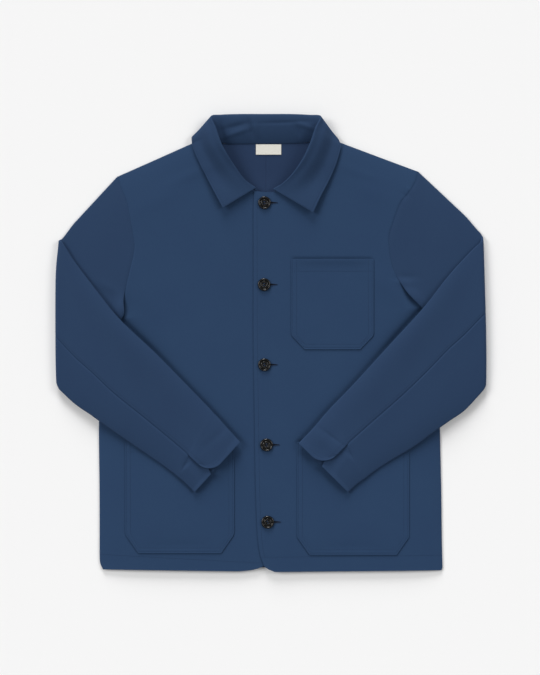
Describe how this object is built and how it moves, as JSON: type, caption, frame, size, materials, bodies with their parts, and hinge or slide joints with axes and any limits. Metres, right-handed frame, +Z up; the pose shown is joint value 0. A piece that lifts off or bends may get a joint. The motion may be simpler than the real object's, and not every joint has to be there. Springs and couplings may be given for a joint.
{
  "type": "chore jacket",
  "caption": "Boxy button-front cotton work jacket with a turned-down collar and patch pockets, laid flat on its back with both sleeves folded over the fronts.",
  "frame": {"origin": "middle of the underside of the jacket's box, on the surface it lies on", "axes": "+X to the wearer's left, +Y from the hem to the collar, +Z up from the surface"},
  "size_m": [0.7332, 0.7779, 0.0271],
  "materials": {
    "drill": "matt navy cotton drill, right side",
    "drill_inside": "matt navy cotton drill, inside",
    "label_tape": "off-white woven tape, bare",
    "button_horn": "polished dark horn-look polyester"
  },
  "bodies": {
    "root": {"back_left": "drill_inside", "back_right": "drill_inside", "front_left": "drill", "front_right": "drill", "top_sleeve_left": "drill", "under_sleeve_left": "drill", "top_sleeve_right": "drill", "under_sleeve_right": "drill", "collar": "drill", "chest_pocket": "drill", "hip_pocket_left": "drill", "hip_pocket_right": "drill", "neck_label": "label_tape", "button_1": "button_horn", "button_2": "button_horn", "button_3": "button_horn", "button_4": "button_horn", "button_5": "button_horn"}
  },
  "joints": []
}
